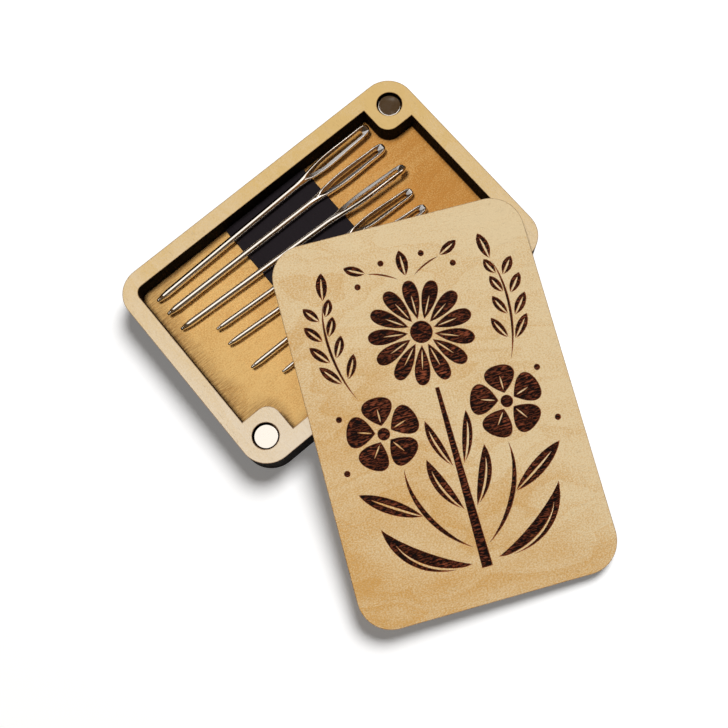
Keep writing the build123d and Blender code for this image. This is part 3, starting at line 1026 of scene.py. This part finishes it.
class MINDER_OT_needles(Operator):
    """Makes the nine needles, each with a blunt tip, a gutter and a long eye"""

    bl_idname = "minder.needles"
    bl_label = "Make the needles"

    def execute(self, context):
        metal = context.scene.needle_minder.metal
        material = polished_steel(metal)
        for place in NEEDLES:
            points, faces, stamped = needle_surface(place.size, metal.gutter_share)
            tip, axes = needle_axes(place)
            made = surface_object(f"{place.name}_steel", (tip + points @ axes) * MM, faces, stamped=stamped)
            place_piece(made, place.name, material)
        return {"FINISHED"}


# The stage. Its camera was fitted to the tray's corners, in millimetres and degrees
CAMERA_PLACE = (-37.84, -73.99, 239.84)
CAMERA_TURN = (13.52, 2.49, -39.90)
LAMP_DISTANCE = 2.0
SIDE_WINDOW_SHARE = 0.4
FILL_SHARE = 0.06
TABLE_HALF = 3.0
TABLE_GAP = 0.05 * MM


@dataclass
class AreaLamp:
    """An area lamp: its shape and its two sides in metres, its power, how many degrees it leans towards X
    and towards Y from straight above, whether it lights the table alone (INCLUDE) or all but the table
    (EXCLUDE), and whether it is only mirrored or only lights."""

    name: str
    shape: str
    sides: tuple
    power: float
    lean: tuple
    table: str
    mirrored: bool


def hang_lamp(lamp, table):
    """Hangs an area lamp over the object, facing it."""
    light = bpy.data.lights.new(lamp.name, "AREA")
    light.shape = lamp.shape
    light.size, light.size_y = lamp.sides
    light.energy = lamp.power
    made = bpy.data.objects.new(lamp.name, light)
    back = Vector((*(math.tan(math.radians(lean)) for lean in lamp.lean), 1)).normalized()
    across = Vector((0, 1, 0)).cross(back).normalized()
    made.matrix_world = Matrix((across, back.cross(across), back)).transposed().to_4x4()
    made.location = back * LAMP_DISTANCE
    made.visible_glossy = lamp.mirrored
    made.visible_diffuse = not lamp.mirrored
    bpy.context.scene.collection.objects.link(made)
    linked = bpy.data.collections.new(f"{lamp.name}_objects")
    linked.objects.link(table)
    linked.collection_objects[0].light_linking.link_state = lamp.table
    made.light_linking.receiver_collection = linked


def seen_ray(add):
    """1 where a ray comes from the camera, a mirror or glass, and 0 where it carries light."""
    path = add("LightPath").outputs
    seen = add("Math", [path["Is Camera Ray"], path["Is Glossy Ray"]], operation="MAXIMUM")
    return add("Math", [seen, path["Is Transmission Ray"]], operation="MAXIMUM")


def white_table(stage):
    """Matt white board. Where it is seen its colour is full white with a little lift, so that it shows
    white and keeps the shadows. Further off it is plain white, and it lights the object as a plain pale
    surface."""
    material, add = emptied(bpy.data.materials.new("matt_white_board"))
    white = linear("#FFFFFF")
    lighting = add("BsdfDiffuse", {"Color": linear("#D8D8D8")})
    surface = add("BsdfDiffuse", {"Color": white})
    lift = add("Emission", {"Color": white, "Strength": stage.table_lift})
    near = add("AddShader", [surface, lift])
    at = add("TexCoord").outputs["Object"]
    reach = add("VectorMath", [at], operation="LENGTH")
    plain_from, plain_at = 0.2, 0.5
    away = add("MapRange", [reach, plain_from, plain_at, 0.0, 1.0], **SOFT)
    plain = add("Emission", {"Color": white, "Strength": 1.0})
    shown = add("MixShader", [away, near, plain])
    surface = add("MixShader", [seen_ray(add), lighting, shown])
    add("OutputMaterial", {"Surface": surface})
    return material


def studio_world(stage):
    """The room. The camera sees plain white, and surfaces get a weak, warm, even light. Mirrors see a
    white band at the horizon, and above it a dim ceiling, a pale wall far off to the right, and two
    brown walls on the near side."""
    world, add = emptied(bpy.data.worlds.new("studio"))
    white = linear("#FFFFFF")
    way = add("TexCoord").outputs["Generated"]
    way = add("SeparateXYZ", [way]).outputs
    up = add("MapRange", [way["Z"], 0.02, 0.10, 0.0, 1.0], **SOFT)
    far = add("MapRange", [way["Y"], 0.86, 0.92, 0.0, 1.0], **SOFT)
    right = add("MapRange", [way["X"], 0.1, 0.2, 0.0, 1.0], **SOFT)
    near = add("MapRange", [way["Y"], -0.15, -0.4, 0.0, 1.0], **SOFT)
    far_right = add("Math", [far, right], operation="MULTIPLY")
    walls = add("Mix", [far_right, stage.ceiling, stage.far_wall], data_type="RGBA")
    near_walls = add("Mix", [right, stage.left_wall, stage.right_wall], data_type="RGBA")
    walls = add("Mix", [near, walls, near_walls], data_type="RGBA")
    room = add("Mix", [up, white, walls], data_type="RGBA")
    even = tuple(stage.ambient * part for part in linear("#FFDDB4")[:3]) + (1.0,)
    mirrored = add("Mix", [seen_ray(add), even, room], data_type="RGBA")
    camera_ray = add("LightPath").outputs["Is Camera Ray"]
    colour = add("Mix", [camera_ray, mirrored, white], data_type="RGBA")
    background = add("Background", {"Color": colour, "Strength": 1.0})
    add("OutputWorld", {"Surface": background})
    return world


class MINDER_OT_stage(Operator):
    """Sets the camera, the lamps, the world and the white table"""

    bl_idname = "minder.stage"
    bl_label = "Set the stage"

    def execute(self, context):
        scene, stage = context.scene, context.scene.needle_minder.stage
        scene.view_settings.view_transform = "Standard"
        scene.world = studio_world(stage)

        camera = bpy.data.objects.new("camera", bpy.data.cameras.new("camera"))
        camera.data.lens = stage.lens
        camera.data.sensor_width = 36
        camera.data.clip_start = 10 * MM
        camera.location = Vector(CAMERA_PLACE) * MM
        camera.rotation_euler = Euler(map(math.radians, CAMERA_TURN))
        scene.collection.objects.link(camera)
        scene.camera = camera

        corners = TABLE_HALF * np.array([(-1, -1), (1, -1), (1, 1), (-1, 1)])
        points = np.concatenate([corners, np.full((4, 1), -TABLE_GAP)], axis=1)
        table = surface_object("table", points, np.array([[0, 1, 2, 3]]))
        table.data.materials.append(white_table(stage))

        # Two windows that only the metal mirrors, a broad one above and a small one to the right. A
        # lamp nearly above the object, for the short shadows under the needles, and a weak one across
        # from it to fill them. And a lamp to the right that lights the table alone, with its shadows
        window, side = stage.window_power, SIDE_WINDOW_SHARE * stage.window_power
        overhead, fill = (1 - FILL_SHARE) * stage.object_power, FILL_SHARE * stage.object_power
        lamps = (
            AreaLamp("window", "RECTANGLE", (1.1, 1.9), window, (-1.5, 12), "EXCLUDE", True),
            AreaLamp("side_window", "RECTANGLE", (0.5, 0.85), side, (19.5, 4), "EXCLUDE", True),
            AreaLamp("overhead_lamp", "DISK", (0.5, 0.5), overhead, (-7, 8), "EXCLUDE", False),
            AreaLamp("fill_lamp", "DISK", (0.6, 0.6), fill, (10, -12), "EXCLUDE", False),
            AreaLamp("table_lamp", "DISK", (1.05, 1.05), stage.table_power, (31, 16), "INCLUDE", False),
        )
        for lamp in lamps:
            hang_lamp(lamp, table)
        return {"FINISHED"}


class MINDER_PT_panel(Panel):
    """The needle minder's steps and settings"""

    bl_idname = "MINDER_PT_panel"
    bl_label = "Needle minder"
    bl_space_type = "VIEW_3D"
    bl_region_type = "UI"
    bl_category = "Needle minder"

    def draw(self, context):
        for step in STEPS:
            self.layout.operator(step.bl_idname)
        settings = context.scene.needle_minder
        for group in (settings.wood, settings.metal, settings.stage):
            box = self.layout.box()
            for name in group.bl_rna.properties.keys():
                if name not in ("rna_type", "name"):
                    box.prop(group, name)


STEPS = (
    MINDER_OT_tray,
    MINDER_OT_lid,
    MINDER_OT_magnets,
    MINDER_OT_strip,
    MINDER_OT_needles,
    MINDER_OT_stage,
)
CLASSES = (MinderWood, MinderMetal, MinderStage, MinderSettings, *STEPS, MINDER_PT_panel)


def register():
    """Registers the classes and hangs the settings on the scene."""
    for made in CLASSES:
        bpy.utils.register_class(made)
    bpy.types.Scene.needle_minder = PointerProperty(type=MinderSettings)


def unregister():
    """Takes the settings and the classes away again."""
    del bpy.types.Scene.needle_minder
    for made in reversed(CLASSES):
        bpy.utils.unregister_class(made)


def main():
    """Dresses the whole needle minder."""
    register()
    bpy.ops.minder.tray()
    bpy.ops.minder.lid()
    bpy.ops.minder.magnets()
    bpy.ops.minder.strip()
    bpy.ops.minder.needles()
    bpy.ops.minder.stage()


if __name__ == "__main__":
    main()
